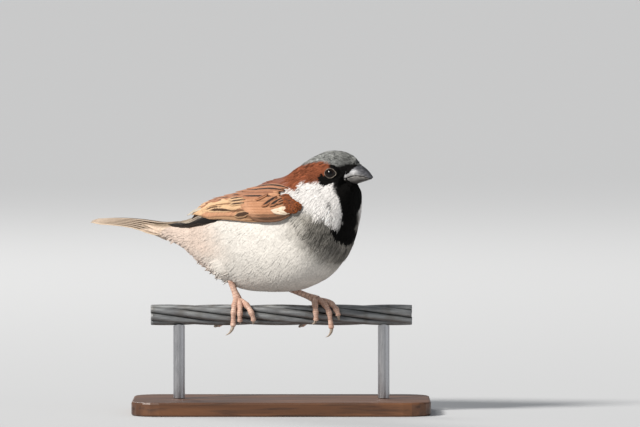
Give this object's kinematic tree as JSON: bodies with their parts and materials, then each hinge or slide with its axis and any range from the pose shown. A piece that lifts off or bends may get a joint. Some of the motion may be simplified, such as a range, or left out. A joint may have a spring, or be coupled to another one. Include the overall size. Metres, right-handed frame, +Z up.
{
  "type": "house sparrow display model",
  "caption": "Life-size model of a male house sparrow gripping a short cut length of twisted wire strand, on a plain display stand.",
  "frame": {"origin": "centre of the underside of the stand's base, on the floor", "axes": "+X along the wire towards the bird's head end, +Y away from the bird's right side, +Z up"},
  "size_m": [0.1468, 0.0888, 0.1137],
  "materials": {
    "head_feathers": "matt feathers",
    "neck_feathers": "matt feathers",
    "body_feathers": "matt, loose feathers",
    "wing_feathers": "smooth vaned feathers",
    "tail_feathers": "smooth vaned feathers",
    "eye": "wet gloss",
    "bill": "horn, satin",
    "leg_skin": "scaled skin, satin",
    "claw": "horn, satin",
    "wire": "weathered galvanised steel",
    "base_wood": "waxed dark wood",
    "rod_steel": "satin"
  },
  "bodies": {
    "root": {"bill_lower": "bill", "bill_upper": "bill", "claw_left_hind": "claw", "claw_left_inner": "claw", "claw_left_middle": "claw", "claw_left_outer": "claw", "claw_right_hind": "claw", "claw_right_inner": "claw", "claw_right_middle": "claw", "claw_right_outer": "claw", "eye_left": "eye", "eye_right": "eye", "head": "head_feathers", "leg_left": "leg_skin", "leg_right": "leg_skin", "neck": "neck_feathers", "perch_wire_1": "wire", "perch_wire_2": "wire", "perch_wire_3": "wire", "perch_wire_4": "wire", "perch_wire_5": "wire", "perch_wire_6": "wire", "perch_wire_core": "wire", "stand_base": "base_wood", "stand_rod_fore": "rod_steel", "stand_rod_hind": "rod_steel", "tail": "tail_feathers", "thigh_left": "body_feathers", "thigh_right": "body_feathers", "trunk": "body_feathers", "wing_left": "wing_feathers", "wing_right": "wing_feathers"}
  },
  "joints": []
}
